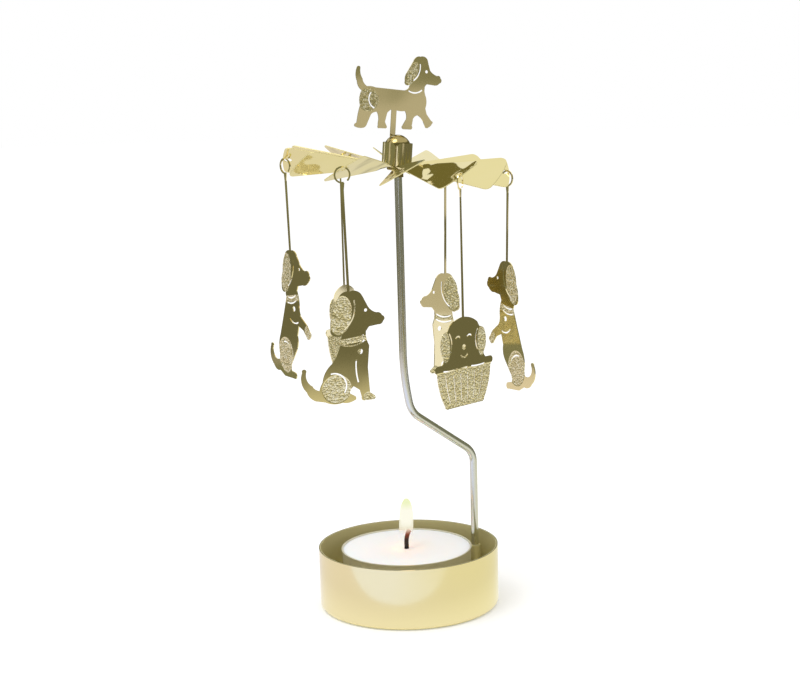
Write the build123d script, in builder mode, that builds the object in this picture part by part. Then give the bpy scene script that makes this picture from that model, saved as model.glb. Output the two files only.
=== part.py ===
from build123d import *
from math import cos, radians, sin, tan
import os

os.makedirs("parts", exist_ok=True)

# A candle carousel. A dish holds one tealight, and a bent rod rises from the dish to a needle point.
# A wind wheel with twelve twisted blades turns on that point, with one figure on top of its cap and
# six figures that hang from its blades. Millimetres, +Z up, the front is -Y, and the origin is the middle
# of the dish's underside.

# Dish
dish_beside_tealight = 7.0
dish_height = 17.5
dish_wall = 0.5
dish_corner_radius = 1.5

# Tealight
tealight_diameter = 38.0
tealight_height = 15.8
tealight_place = (-0.5, 1.6)
foil_wall = 0.25
foil_bead = 0.2
foil_corner_size = 1.0
wax_below_rim = 0.3
wax_pool_depth = 0.35
wax_pool_diameter = 25.0
wick_diameter = 1.3
wick_straight = 17.2
wick_curl_radius = 7.0
wick_curl_angle = 30.0
wick_clip_diameter = 12.0
wick_clip_sheet = 0.3
wick_clip_neck_height = 3.5
wick_clip_neck_wall = 0.4

# Rod and its socket
rod_diameter = 2.2
rod_foot_azimuth = 29.2
rod_lower_knee_height = 41.9
rod_upper_knee_height = 56.4
rod_upper_knee_offset = 2.15
rod_straight_height = 67.5
rod_top_height = 127.1
rod_lower_bend = 6.0
rod_upper_bend = 7.5
rod_easy_bend = 72.0
socket_wall = 0.5
socket_height = 13.0
socket_corner_gap = 0.05

# Needle point
holder_diameter = 3.0
holder_grip_length = 3.2
holder_head_length = 2.2
needle_length = 4.4
needle_diameter = 0.9
needle_point_length = 1.6
needle_tip_diameter = 0.16
pivot_clearance = 0.05

# Wind wheel
wheel_diameter = 63.6
wheel_lean = 4.9
wheel_sheet = 0.3
wheel_below_pivot = 4.6
blade_count = 12
blade_angle = 25.9
blade_pitch = 32.5
first_blade_azimuth = 2.7
blade_root_radius = 4.6
blade_twist_end_radius = 9.0
blade_tab_length = 1.0
blade_corner_radius = 1.5

# Hub
cap_diameter = 7.6
cap_above_pivot = 4.25
cap_drill_angle = 118.0
bush_flange_thickness = 0.9
bush_flange_lip = 0.25
bush_flange_chamfer = 0.25
bush_sleeve_length = 2.0
bush_sleeve_wall = 0.3
hub_clearance = 0.15

# Hangers of the figures
figure_sheet = 0.3
ring_diameter = 4.6
ring_band = 0.45
ring_gap_start = 280.0
ring_gap_end = 312.0
hang_clearance = 0.2
hang_hole_diameter = 2.2
hang_hole_from_rim = 1.5
hang_hole_shift = 0.2
hang_point_from_rim = 0.6
hang_point_shift = -0.1
strip_width = 0.65
strip_overlap = 0.4
neck_width = 1.1
neck_length = 1.8

# Figures, each cut from one sheet
sitting_width = 23.7
sitting_height = 29.9
sitting_strip_length = 28.7
sitting_strip_share = 0.6
begging_width = 25.0
begging_height = 36.6
begging_strip_length = 21.4
begging_strip_share = 0.56
basket_width = 23.6
basket_height = 24.2
basket_strip_length = 33.8
basket_strip_share = 0.5
trotting_width = 25.8
trotting_height = 20.4
trotting_lift = 3.65
trotting_stem_share = 0.47
trotting_belly_share = 0.26
line_width = 0.42
eye_diameter = 0.9
tag_diameter = 1.5

# Clip of the top figure
clip_clearance = 0.1
clip_height = 6.3
clip_lift = 0.15
clip_gap = 0.4
clip_gap_azimuth = 265.0
clip_corner_radius = 1.4
clip_stem_azimuth = 113.0
stem_width = 1.55

tealight_radius = tealight_diameter / 2
dish_radius = tealight_radius + dish_beside_tealight
wax_radius = tealight_radius - foil_bead - foil_wall
rod_radius = rod_diameter / 2
holder_bottom_height = rod_top_height - holder_grip_length
holder_top_height = rod_top_height + holder_head_length
pivot_height = rod_top_height + needle_length
wheel_radius = wheel_diameter / 2
hub_bore_radius = holder_diameter / 2 + hub_clearance + tan(radians(wheel_lean)) * (
    wheel_below_pivot + wheel_sheet / 2 + bush_flange_thickness
)
bush_sleeve_radius = hub_bore_radius + bush_sleeve_wall
ring_bottom = ring_band - ring_diameter

# The wheel and all that is fixed to it lean to the right about the needle's tip.
wheel_plane = Plane(
    origin=(0, 0, pivot_height),
    x_dir=(cos(radians(wheel_lean)), 0, -sin(radians(wheel_lean))),
    z_dir=(sin(radians(wheel_lean)), 0, cos(radians(wheel_lean))),
)
wheel_axis = Axis(wheel_plane.origin, wheel_plane.z_dir)
wheel_section = Plane(
    origin=wheel_plane.origin, x_dir=wheel_plane.x_dir, z_dir=-wheel_plane.y_dir
)
tealight_floor = Plane(origin=(*tealight_place, dish_wall))
tealight_axis = Axis(tealight_floor.origin, tealight_floor.z_dir)
tealight_section = Plane(origin=tealight_floor.origin, x_dir=(1, 0, 0), z_dir=(0, -1, 0))


def keep(piece, name):
    """Labels a finished piece and writes it as its own file."""
    piece.part.label = name
    export_step(piece.part, f"parts/{name}.step")


# Dish, deep drawn from sheet with a rounded lower corner.
with BuildPart() as dish:
    with BuildSketch(Plane.XZ) as dish_profile:
        with BuildLine():
            Polyline(
                (0, 0),
                (dish_radius, 0),
                (dish_radius, dish_height),
                (dish_radius - dish_wall, dish_height),
                (dish_radius - dish_wall, dish_wall),
                (0, dish_wall),
                close=True,
            )
        make_face()
        outer_corner = dish_profile.vertices().group_by(Axis.Y)[0].sort_by(Axis.X)[-1]
        fillet(outer_corner, dish_corner_radius)
        inner_corner = dish_profile.vertices().filter_by(
            lambda corner: abs(corner.Y - dish_wall) + abs(corner.X + dish_wall - dish_radius) < dish_wall / 2
        )
        chamfer(inner_corner, dish_corner_radius - dish_wall)
    revolve(axis=Axis.Z)
keep(dish, "dish")

# Tealight cup, thin foil with a small bead round its rim.
with BuildPart() as tealight_cup:
    with BuildSketch(tealight_section) as cup_profile:
        with BuildLine():
            Polyline(
                (0, 0),
                (tealight_radius - foil_bead, 0),
                (tealight_radius - foil_bead, tealight_height - 2 * foil_bead),
                (tealight_radius, tealight_height - 2 * foil_bead),
                (tealight_radius, tealight_height),
                (wax_radius, tealight_height),
                (wax_radius, foil_wall),
                (0, foil_wall),
                close=True,
            )
        make_face()
        lower_corner = cup_profile.vertices().group_by(Axis.Y)[0].sort_by(Axis.X)[-1]
        chamfer(lower_corner, foil_corner_size)
        upper_corner = cup_profile.vertices().filter_by(
            lambda corner: abs(corner.Y - foil_wall) + abs(corner.X - wax_radius) < foil_wall / 2
        )
        chamfer(upper_corner, foil_corner_size - foil_wall)
    revolve(axis=tealight_axis)
keep(tealight_cup, "tealight_cup")

# Wick holder, a pressed disc with a neck, which stands on the cup's floor under the wax.
wick_clip_floor = tealight_floor.offset(foil_wall)
wick_clip_neck_radius = wick_diameter / 2 + wick_clip_neck_wall
with BuildPart() as wick_holder:
    with BuildSketch(wick_clip_floor):
        Circle(wick_clip_diameter / 2)
        Circle(wick_diameter / 2, mode=Mode.SUBTRACT)
    extrude(amount=wick_clip_sheet)
    with BuildSketch(wick_clip_floor.offset(wick_clip_sheet)):
        Circle(wick_clip_neck_radius)
        Circle(wick_diameter / 2, mode=Mode.SUBTRACT)
    extrude(amount=wick_clip_neck_height - wick_clip_sheet)
keep(wick_holder, "wick_holder")

# Wick, straight through its holder and the wax, then curling over to the right.
with BuildPart() as wick:
    with BuildLine(tealight_section) as wick_path:
        straight = Line((0, foil_wall), (0, wick_straight))
        JernArc(straight @ 1, straight % 1, wick_curl_radius, -wick_curl_angle)
    with BuildSketch(wick_clip_floor):
        Circle(wick_diameter / 2)
    sweep()
keep(wick, "wick")

# Wax, up to just below the rim, with a shallow melted pool round the wick.
with BuildPart() as wax:
    with BuildSketch(tealight_section) as wax_profile:
        wax_top = tealight_height - wax_below_rim
        with BuildLine():
            Polyline(
                (0, wax_top - wax_pool_depth),
                (0, foil_wall),
                (wax_radius, foil_wall),
                (wax_radius, wax_top),
                (wax_pool_diameter / 2, wax_top),
                close=True,
            )
        make_face()
        wax_corner = wax_profile.vertices().group_by(Axis.Y)[0].sort_by(Axis.X)[-1]
        chamfer(wax_corner, foil_corner_size - foil_wall)
    revolve(axis=tealight_axis)
    add(wick_holder.part, mode=Mode.SUBTRACT)
    with BuildSketch(wick_clip_floor):
        Circle(wick_diameter / 2)
    extrude(amount=tealight_height, mode=Mode.SUBTRACT)
keep(wax, "wax")

# Rod socket, a short tube that stands on the dish's floor beside the wall.
socket_radius = rod_radius + socket_wall
rod_foot_reach = dish_radius - dish_corner_radius - socket_corner_gap - socket_radius
rod_foot = Vector(rod_foot_reach, 0).rotate(Axis.Z, rod_foot_azimuth)
with BuildPart() as rod_socket:
    with BuildSketch(Plane(origin=(rod_foot.X, rod_foot.Y, dish_wall))):
        Circle(socket_radius)
        Circle(rod_radius, mode=Mode.SUBTRACT)
    extrude(amount=socket_height)
keep(rod_socket, "rod_socket")

# Rod, one wire with two bends, which brings it from the dish's side over to the middle.
rod_plane = Plane(
    origin=(0, 0, 0), x_dir=(rod_foot.X, rod_foot.Y, 0), z_dir=(rod_foot.Y, -rod_foot.X, 0)
)
with BuildPart() as rod:
    with BuildLine(rod_plane) as rod_path:
        FilletPolyline(
            (rod_foot_reach, dish_wall),
            (rod_foot_reach, rod_lower_knee_height),
            (rod_upper_knee_offset, rod_upper_knee_height),
            (0, rod_straight_height),
            (0, rod_top_height),
            radius=[rod_lower_bend, rod_upper_bend, rod_easy_bend],
        )
    with BuildSketch(Plane(origin=rod_path.line @ 0, z_dir=rod_path.line % 0)):
        Circle(rod_radius)
    sweep()
keep(rod, "rod")

# Needle holder, a turned brass sleeve that is pressed on the rod's end.
with BuildPart() as needle_holder:
    with BuildSketch(Plane.XY.offset(holder_bottom_height)):
        Circle(holder_diameter / 2)
        Circle(rod_radius, mode=Mode.SUBTRACT)
    extrude(amount=rod_top_height - holder_bottom_height)
    with BuildSketch(Plane.XY.offset(rod_top_height)):
        Circle(holder_diameter / 2)
        Circle(needle_diameter / 2, mode=Mode.SUBTRACT)
    extrude(amount=holder_top_height - rod_top_height)
    chamfer(
        needle_holder.edges().group_by(Axis.Z)[-1].sort_by(SortBy.RADIUS)[-1],
        (holder_diameter - rod_diameter) / 2,
    )
keep(needle_holder, "needle_holder")

# Needle, a hardened pin with a ground point that carries the whole wheel.
with BuildPart() as needle:
    with BuildSketch(Plane.XZ):
        with BuildLine():
            Polyline(
                (0, rod_top_height),
                (needle_diameter / 2, rod_top_height),
                (needle_diameter / 2, pivot_height - needle_point_length),
                (needle_tip_diameter / 2, pivot_height),
                (0, pivot_height),
                close=True,
            )
        make_face()
    revolve(axis=Axis.Z)
keep(needle, "pivot_needle")

# Bearing cap, turned with a domed top, and drilled from below so that the drill's point rests on the needle.
cap_radius = cap_diameter / 2
cap_bottom = wheel_sheet / 2 - wheel_below_pivot
dome_base = cap_above_pivot - cap_radius
drill_point_height = hub_bore_radius / tan(radians(cap_drill_angle / 2))
bore_apex = pivot_clearance + needle_tip_diameter / 2 / tan(radians(cap_drill_angle / 2))
with BuildPart() as bearing_cap:
    with BuildSketch(wheel_section):
        with BuildLine():
            Polyline(
                (0, cap_above_pivot),
                (0, bore_apex),
                (hub_bore_radius, bore_apex - drill_point_height),
                (hub_bore_radius, cap_bottom + bush_sleeve_length),
                (bush_sleeve_radius, cap_bottom + bush_sleeve_length),
                (bush_sleeve_radius, cap_bottom),
                (cap_radius, cap_bottom),
                (cap_radius, dome_base),
            )
            CenterArc((0, dome_base), cap_radius, 0, 90)
        make_face()
    revolve(axis=wheel_axis)
keep(bearing_cap, "bearing_cap")

# Clamp bush, pressed up through the wheel into the cap, with a flange that grips the sheet.
wheel_underside = -wheel_sheet / 2 - wheel_below_pivot
with BuildPart() as clamp_bush:
    with BuildSketch(wheel_plane.offset(wheel_underside - bush_flange_thickness)):
        Circle(bush_sleeve_radius + bush_flange_lip)
        Circle(hub_bore_radius, mode=Mode.SUBTRACT)
    extrude(amount=bush_flange_thickness)
    chamfer(clamp_bush.edges().sort_by(wheel_axis)[0:2].sort_by(SortBy.RADIUS)[-1], bush_flange_chamfer)
    with BuildSketch(wheel_plane.offset(wheel_underside)):
        Circle(bush_sleeve_radius)
        Circle(hub_bore_radius, mode=Mode.SUBTRACT)
    extrude(amount=cap_bottom + bush_sleeve_length - wheel_underside)
keep(clamp_bush, "clamp_bush")


def wheel_blade(has_hole):
    """One blade along +X: a flat tab, a twisted root and a pitched plate, about the wheel's own centre."""
    root_width = 2 * blade_root_radius * tan(radians(blade_angle / 2))
    twist_end_width = 2 * blade_twist_end_radius * tan(radians(blade_angle / 2))
    rim_reach = wheel_radius * cos(radians(blade_angle / 2))
    rim_half_width = wheel_radius * sin(radians(blade_angle / 2))
    root_plane = Plane(origin=(0, 0, -wheel_below_pivot), x_dir=(0, 1, 0), z_dir=(1, 0, 0))
    plate_plane = Plane(
        origin=(0, 0, -wheel_below_pivot),
        x_dir=(1, 0, 0),
        z_dir=(0, -sin(radians(blade_pitch)), cos(radians(blade_pitch))),
    )
    with BuildPart() as blade:
        with BuildSketch(root_plane.offset(blade_root_radius - blade_tab_length)):
            Rectangle(root_width, wheel_sheet)
        extrude(amount=blade_tab_length)
        with BuildSketch(root_plane.offset(blade_root_radius)):
            Rectangle(root_width, wheel_sheet)
        with BuildSketch(root_plane.offset(blade_twist_end_radius)):
            Rectangle(twist_end_width, wheel_sheet, rotation=blade_pitch)
        loft(ruled=True)
        with BuildSketch(plate_plane) as plate_outline:
            with BuildLine():
                Polyline(
                    (rim_reach, rim_half_width),
                    (blade_twist_end_radius, twist_end_width / 2),
                    (blade_twist_end_radius, -twist_end_width / 2),
                    (rim_reach, -rim_half_width),
                )
                ThreePointArc((rim_reach, -rim_half_width), (wheel_radius, 0), (rim_reach, rim_half_width))
            make_face()
            fillet(plate_outline.vertices().group_by(Axis.X)[-1], blade_corner_radius)
            if has_hole:
                with Locations((wheel_radius - hang_hole_from_rim, hang_hole_shift)):
                    Circle(hang_hole_diameter / 2, mode=Mode.SUBTRACT)
        extrude(amount=wheel_sheet / 2, both=True)
    return blade.part


# Wind wheel, stamped from one sheet, with each blade twisted at its root and every second one drilled.
blade_step = 360 / blade_count
holed_blade = wheel_blade(has_hole=True)
plain_blade = wheel_blade(has_hole=False)
with BuildPart(wheel_plane) as wheel:
    with BuildSketch(wheel_plane.offset(wheel_underside)):
        Circle(blade_root_radius)
        Circle(bush_sleeve_radius, mode=Mode.SUBTRACT)
    extrude(amount=wheel_sheet)
    with PolarLocations(0, blade_count // 2, start_angle=first_blade_azimuth):
        add(holed_blade)
    with PolarLocations(0, blade_count // 2, start_angle=first_blade_azimuth + blade_step):
        add(plain_blade)
keep(wheel, "wind_wheel")


def bowed_outline(shares, width, height):
    """Face inside a closed run of arcs.

    Each entry is an x share, a height share and a bow share: how far the run to the next entry
    swells outwards, as a share of its own length.
    """
    with BuildSketch() as face:
        with BuildLine():
            for entry, following in zip(shares, shares[1:] + shares[:1]):
                start = Vector(entry[0] * width, entry[1] * height)
                end = Vector(following[0] * width, following[1] * height)
                run = end - start
                if entry[2] == 0:
                    Line(start, end)
                else:
                    ThreePointArc(start, (start + end) / 2 + Vector(run.Y, -run.X) * entry[2], end)
        make_face()
    return face.sketch


def cut_lines(lines, width, height):
    """Narrow cuts along arcs, each given by two ends and a bow share."""
    with BuildSketch() as cuts:
        for x1, y1, x2, y2, bow in lines:
            start = Vector(x1 * width, y1 * height)
            end = Vector(x2 * width, y2 * height)
            run = end - start
            with BuildLine(mode=Mode.PRIVATE) as middle:
                ThreePointArc(start, (start + end) / 2 + Vector(run.Y, -run.X) * bow, end)
            trace(middle.wire(), line_width)
    return cuts.sketch


# Outlines, from the foot counter-clockwise.
trotting_shares = [
    (0.04, 0.06, 0.3), (0.02, 0.01, 0.1), (0.13, 0.00, 0.1), (0.16, 0.05, 0.0), (0.20, 0.18, -0.12),
    (0.27, 0.22, -0.1), (0.29, 0.08, 0.0), (0.29, 0.03, 0.35), (0.31, 0.00, 0.0), (0.38, 0.00, 0.3),
    (0.39, 0.04, 0.0), (0.37, 0.09, 0.0), (0.39, 0.21, -0.1), (0.46, 0.27, 0.08), (0.60, 0.25, -0.1),
    (0.62, 0.14, 0.0), (0.58, 0.05, 0.35), (0.60, 0.00, 0.0), (0.68, 0.00, 0.3), (0.69, 0.05, 0.0),
    (0.70, 0.15, -0.1), (0.75, 0.20, -0.1), (0.83, 0.10, 0.0), (0.85, 0.05, 0.3), (0.89, 0.04, 0.1),
    (0.93, 0.09, 0.4), (0.92, 0.13, 0.0), (0.86, 0.22, 0.0), (0.84, 0.30, 0.10), (0.83, 0.48, -0.08),
    (0.82, 0.60, 0.0), (0.84, 0.63, 0.0), (0.93, 0.62, 0.15), (0.99, 0.65, 0.35), (1.00, 0.72, 0.3),
    (0.96, 0.75, -0.08), (0.87, 0.82, 0.0), (0.84, 0.93, 0.25), (0.75, 1.00, 0.2), (0.67, 0.94, 0.0),
    (0.60, 0.78, 0.1), (0.58, 0.66, 0.45), (0.64, 0.62, 0.1), (0.64, 0.60, -0.15), (0.58, 0.53, 0.0),
    (0.24, 0.55, 0.06), (0.14, 0.56, -0.12), (0.08, 0.66, -0.1), (0.05, 0.80, 0.5), (0.01, 0.80, 0.1),
    (0.02, 0.62, 0.12), (0.08, 0.50, 0.10), (0.07, 0.30, 0.0), (0.05, 0.18, 0.0),
]
sitting_shares = [
    (0.26, 0.02, 0.1), (0.46, 0.00, 0.1), (0.60, 0.01, 0.35), (0.61, 0.05, 0.0), (0.55, 0.08, -0.10),
    (0.60, 0.14, 0.0), (0.67, 0.10, 0.0), (0.69, 0.03, 0.25), (0.71, 0.00, 0.0), (0.83, 0.00, 0.35),
    (0.84, 0.04, 0.0), (0.79, 0.07, 0.0), (0.78, 0.30, 0.0), (0.81, 0.50, -0.08), (0.78, 0.63, 0.0),
    (0.82, 0.67, 0.0), (0.93, 0.68, 0.2), (0.99, 0.71, 0.35), (0.98, 0.76, 0.2), (0.92, 0.79, -0.1),
    (0.82, 0.85, 0.0), (0.76, 0.95, 0.2), (0.62, 1.00, 0.18), (0.48, 0.95, 0.10), (0.40, 0.80, 0.08),
    (0.37, 0.67, 0.30), (0.43, 0.61, 0.30), (0.50, 0.63, 0.0), (0.47, 0.52, -0.06), (0.36, 0.36, 0.10),
    (0.24, 0.20, 0.06), (0.20, 0.13, -0.12), (0.12, 0.18, -0.18), (0.06, 0.32, 0.6), (0.01, 0.31, 0.15),
    (0.05, 0.13, 0.12), (0.15, 0.04, 0.0),
]
begging_shares = [
    (0.30, 0.01, 0.0), (0.50, 0.00, 0.3), (0.55, 0.02, 0.2), (0.52, 0.05, 0.0), (0.44, 0.06, -0.1),
    (0.46, 0.12, 0.0), (0.58, 0.22, 0.12), (0.62, 0.34, 0.0), (0.66, 0.42, 0.0), (0.76, 0.39, 0.0),
    (0.82, 0.34, 0.35), (0.89, 0.34, 0.35), (0.89, 0.38, 0.0), (0.84, 0.43, 0.0), (0.72, 0.49, -0.1),
    (0.69, 0.56, 0.08), (0.66, 0.69, 0.0), (0.69, 0.73, 0.0), (0.80, 0.74, 0.15), (0.92, 0.77, 0.3),
    (0.94, 0.82, 0.3), (0.87, 0.85, -0.1), (0.76, 0.89, 0.0), (0.70, 0.96, 0.2), (0.57, 1.00, 0.2),
    (0.44, 0.96, 0.08), (0.38, 0.84, 0.08), (0.34, 0.72, 0.32), (0.42, 0.68, 0.1), (0.43, 0.64, 0.0),
    (0.36, 0.52, 0.0), (0.25, 0.34, 0.10), (0.21, 0.18, 0.0), (0.20, 0.14, -0.1), (0.12, 0.14, -0.25),
    (0.07, 0.24, 0.6), (0.02, 0.24, 0.2), (0.06, 0.09, 0.18), (0.20, 0.05, 0.0),
]
basket_shares = [
    (0.22, 0.00, 0.0), (0.78, 0.00, 0.25), (0.84, 0.04, 0.06), (0.96, 0.40, 0.0), (0.97, 0.42, 0.5),
    (0.95, 0.50, 0.0), (0.88, 0.50, -0.1), (0.84, 0.56, 0.0), (0.87, 0.60, 0.10), (0.87, 0.80, 0.18),
    (0.78, 0.86, 0.0), (0.74, 0.92, 0.165), (0.26, 0.92, 0.0), (0.22, 0.86, 0.18), (0.13, 0.80, 0.10),
    (0.13, 0.60, 0.0), (0.16, 0.56, -0.1), (0.12, 0.50, 0.0), (0.05, 0.50, 0.5), (0.03, 0.42, 0.0),
    (0.04, 0.40, 0.06), (0.16, 0.04, 0.25),
]

# Lines cut right through: ears, collars, haunches, legs and the basket's staves.
trotting_line_shares = [
    (0.75, 0.90, 0.68, 0.67, -0.15), (0.63, 0.53, 0.79, 0.55, 0.18), (0.19, 0.48, 0.24, 0.27, 0.25),
]
sitting_line_shares = [
    (0.66, 0.92, 0.53, 0.66, -0.15), (0.51, 0.57, 0.75, 0.60, 0.12), (0.50, 0.52, 0.76, 0.55, 0.12),
    (0.34, 0.27, 0.49, 0.09, -0.35), (0.65, 0.38, 0.66, 0.17, 0.05),
]
begging_line_shares = [
    (0.62, 0.93, 0.46, 0.72, -0.15), (0.45, 0.64, 0.63, 0.66, 0.12), (0.43, 0.60, 0.64, 0.62, 0.12),
    (0.48, 0.48, 0.66, 0.45, 0.20), (0.30, 0.28, 0.46, 0.15, -0.32),
]
basket_line_shares = [
    (0.14, 0.43, 0.38, 0.43, 0.03), (0.44, 0.43, 0.56, 0.43, 0.01), (0.62, 0.43, 0.86, 0.43, 0.03),
    (0.18, 0.37, 0.25, 0.07, 0.03), (0.32, 0.37, 0.35, 0.06, 0.02), (0.44, 0.37, 0.45, 0.06, 0.01),
    (0.56, 0.37, 0.55, 0.06, -0.01), (0.68, 0.37, 0.65, 0.06, -0.02), (0.82, 0.37, 0.75, 0.07, -0.03),
    (0.25, 0.84, 0.26, 0.60, -0.15), (0.75, 0.84, 0.74, 0.60, 0.15),
    (0.36, 0.77, 0.44, 0.77, -0.25), (0.56, 0.77, 0.64, 0.77, -0.25), (0.44, 0.58, 0.56, 0.58, 0.30),
]
sitting_eye_share = (0.79, 0.82)
sitting_tag_share = (0.70, 0.45)
begging_eye_share = (0.74, 0.86)
begging_tag_share = (0.58, 0.55)
trotting_eye_share = (0.83, 0.80)
basket_nose_share = (0.50, 0.66)


def figure_face(outline, lines, dots, width, height):
    """A figure's sheet with its left lower corner at the origin."""
    with BuildSketch() as face:
        add(bowed_outline(outline, width, height))
        add(cut_lines(lines, width, height), mode=Mode.SUBTRACT)
        for x_share, y_share, diameter in dots:
            with Locations((x_share * width, y_share * height)):
                Circle(diameter / 2, mode=Mode.SUBTRACT)
    return face.sketch


def open_ring():
    """The ring and the neck under it, with the origin at the top of the ring's inside."""
    ring_radius = ring_diameter / 2
    ring_inner_radius = ring_radius - ring_band
    with BuildSketch() as face:
        with Locations((0, -ring_inner_radius)):
            Circle(ring_radius)
            Circle(ring_inner_radius, mode=Mode.SUBTRACT)
        with BuildLine():
            centre = Vector(0, -ring_inner_radius)
            first = centre + Vector(ring_diameter, 0).rotate(Axis.Z, ring_gap_start)
            last = centre + Vector(ring_diameter, 0).rotate(Axis.Z, ring_gap_end)
            Polyline(centre, first, last, close=True)
        make_face(mode=Mode.SUBTRACT)
        with BuildLine():
            Polyline(
                (-neck_width / 2, ring_bottom + ring_band / 2),
                (-strip_width / 2, ring_bottom - neck_length),
                (strip_width / 2, ring_bottom - neck_length),
                (neck_width / 2, ring_bottom + ring_band / 2),
                close=True,
            )
        make_face()
    return face.sketch


def hanging_figure(name, plane, figure, width, height, strip_length, strip_share, twist):
    """One piece of sheet: an open ring, a strip that may twist, and a figure.

    The strip leans, so that the figure's middle of area hangs under its ring.
    """
    strip_place = strip_share * width
    strip_start = ring_bottom - neck_length
    strip_end = ring_bottom - strip_length
    middle = figure.face().center()
    slant = (strip_place - middle.X) / (height - middle.Y - strip_end)
    strip_shift = (strip_start - strip_end) * slant
    figure_plane = Plane(
        origin=plane.origin + plane.x_dir * strip_shift + Vector(0, 0, strip_end),
        x_dir=plane.x_dir.rotate(Axis.Z, twist) + Vector(0, 0, slant),
        z_dir=plane.z_dir.rotate(Axis.Z, twist),
    )
    strip_start_plane = Plane(origin=plane.origin + Vector(0, 0, strip_start), x_dir=plane.x_dir)
    strip_end_plane = Plane(
        origin=figure_plane.origin, x_dir=figure_plane.x_dir, z_dir=figure_plane.y_dir
    )
    with BuildPart() as piece:
        with BuildSketch(plane):
            add(open_ring())
        extrude(amount=figure_sheet / 2, both=True)
        with BuildSketch(strip_start_plane):
            Rectangle(strip_width, figure_sheet)
        with BuildSketch(strip_end_plane):
            Rectangle(strip_width, figure_sheet)
        loft(ruled=True)
        with BuildSketch(figure_plane):
            with Locations((0, -strip_overlap / 2)):
                Rectangle(strip_width, strip_overlap)
            with Locations((-strip_place, -height)):
                add(figure)
        extrude(amount=figure_sheet / 2, both=True)
    keep(piece, name)


sitting_face = figure_face(
    sitting_shares,
    sitting_line_shares,
    [(*sitting_eye_share, eye_diameter), (*sitting_tag_share, tag_diameter)],
    sitting_width,
    sitting_height,
)
begging_face = figure_face(
    begging_shares,
    begging_line_shares,
    [(*begging_eye_share, eye_diameter), (*begging_tag_share, tag_diameter)],
    begging_width,
    begging_height,
)
basket_face = figure_face(
    basket_shares, basket_line_shares, [(*basket_nose_share, tag_diameter)], basket_width, basket_height
)
trotting_face = figure_face(
    trotting_shares, trotting_line_shares, [(*trotting_eye_share, eye_diameter)], trotting_width, trotting_height
)


def hang_plane(blade_number, turn):
    """Upright plane of a hanging figure, with its origin just above the edge of the blade's hole."""
    blade_frame = wheel_plane.location * Location(
        (0, 0, -wheel_below_pivot), (0, 0, first_blade_azimuth + blade_number * blade_step)
    )
    on_blade = Location((wheel_radius - hang_point_from_rim, hang_point_shift, wheel_sheet / 2))
    point = (blade_frame * Location((0, 0, 0), (blade_pitch, 0, 0)) * on_blade).position
    azimuth = first_blade_azimuth + blade_number * blade_step + turn
    return Plane(
        origin=(point.X, point.Y, point.Z + hang_clearance),
        x_dir=(cos(radians(azimuth)), sin(radians(azimuth)), 0),
        z_dir=(sin(radians(azimuth)), -cos(radians(azimuth)), 0),
    )


# Hanging figures. Each has its blade's number, how far its ring is turned from that blade's direction, and
# how far its strip twists.
sitting = (sitting_face, sitting_width, sitting_height, sitting_strip_length, sitting_strip_share)
begging = (begging_face, begging_width, begging_height, begging_strip_length, begging_strip_share)
basket = (basket_face, basket_width, basket_height, basket_strip_length, basket_strip_share)
hanging_figures = [
    ("sitting_dog_front", sitting, 8, 135, 0),
    ("sitting_dog_back", sitting, 2, 135, 20),
    ("begging_dog_left", begging, 6, 130, -8),
    ("begging_dog_right", begging, 0, 126, -8),
    ("basket_dog_front", basket, 10, 126, -22),
    ("basket_dog_back", basket, 4, 130, -10),
]
for name, sheet, blade_number, turn, twist in hanging_figures:
    hanging_figure(name, hang_plane(blade_number, turn), *sheet, twist)

# Top figure, with a stem and a spring band that clips round the bearing cap.
clip_inner_radius = cap_radius + clip_clearance
clip_outer_radius = clip_inner_radius + figure_sheet
clip_bottom = cap_bottom + clip_lift
clip_top = clip_bottom + clip_height
gap_direction = radians(clip_gap_azimuth)
gap_plane = Plane(
    wheel_plane.location
    * Plane(
        origin=(0, 0, clip_bottom),
        x_dir=(-sin(gap_direction), cos(gap_direction), 0),
        z_dir=(cos(gap_direction), sin(gap_direction), 0),
    ).location
)
stem_direction = radians(clip_stem_azimuth)
stem_plane = Plane(
    wheel_plane.location
    * Plane(
        origin=(
            clip_outer_radius * cos(stem_direction),
            clip_outer_radius * sin(stem_direction),
            clip_top,
        ),
        x_dir=(sin(stem_direction), -cos(stem_direction), 0),
        z_dir=(-cos(stem_direction), -sin(stem_direction), 0),
    ).location
)
with BuildPart() as top_figure:
    with BuildSketch(wheel_plane.offset(clip_bottom)):
        Circle(clip_outer_radius)
        Circle(clip_inner_radius, mode=Mode.SUBTRACT)
    extrude(amount=clip_height)
    with BuildSketch(gap_plane):
        with BuildLine():
            shoulder = clip_height - clip_corner_radius
            Polyline((-clip_gap / 2, shoulder), (-clip_gap / 2, 0), (clip_gap / 2, 0), (clip_gap / 2, shoulder))
            RadiusArc(
                (clip_gap / 2, shoulder), (clip_gap / 2 + clip_corner_radius, clip_height), clip_corner_radius
            )
            Line(
                (clip_gap / 2 + clip_corner_radius, clip_height),
                (-clip_gap / 2 - clip_corner_radius, clip_height),
            )
            RadiusArc(
                (-clip_gap / 2 - clip_corner_radius, clip_height), (-clip_gap / 2, shoulder), clip_corner_radius
            )
        make_face()
    extrude(amount=cap_diameter, mode=Mode.SUBTRACT)
    with BuildSketch(stem_plane):
        belly_height = trotting_lift + trotting_belly_share * trotting_height
        with Locations((0, (belly_height + strip_overlap) / 2)):
            Rectangle(stem_width, belly_height + strip_overlap)
        with Locations((-trotting_stem_share * trotting_width, trotting_lift)):
            add(trotting_face)
    extrude(amount=figure_sheet)
keep(top_figure, "top_figure")
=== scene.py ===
import bpy
from math import cos, radians, sin
from mathutils import Matrix, Vector


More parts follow.
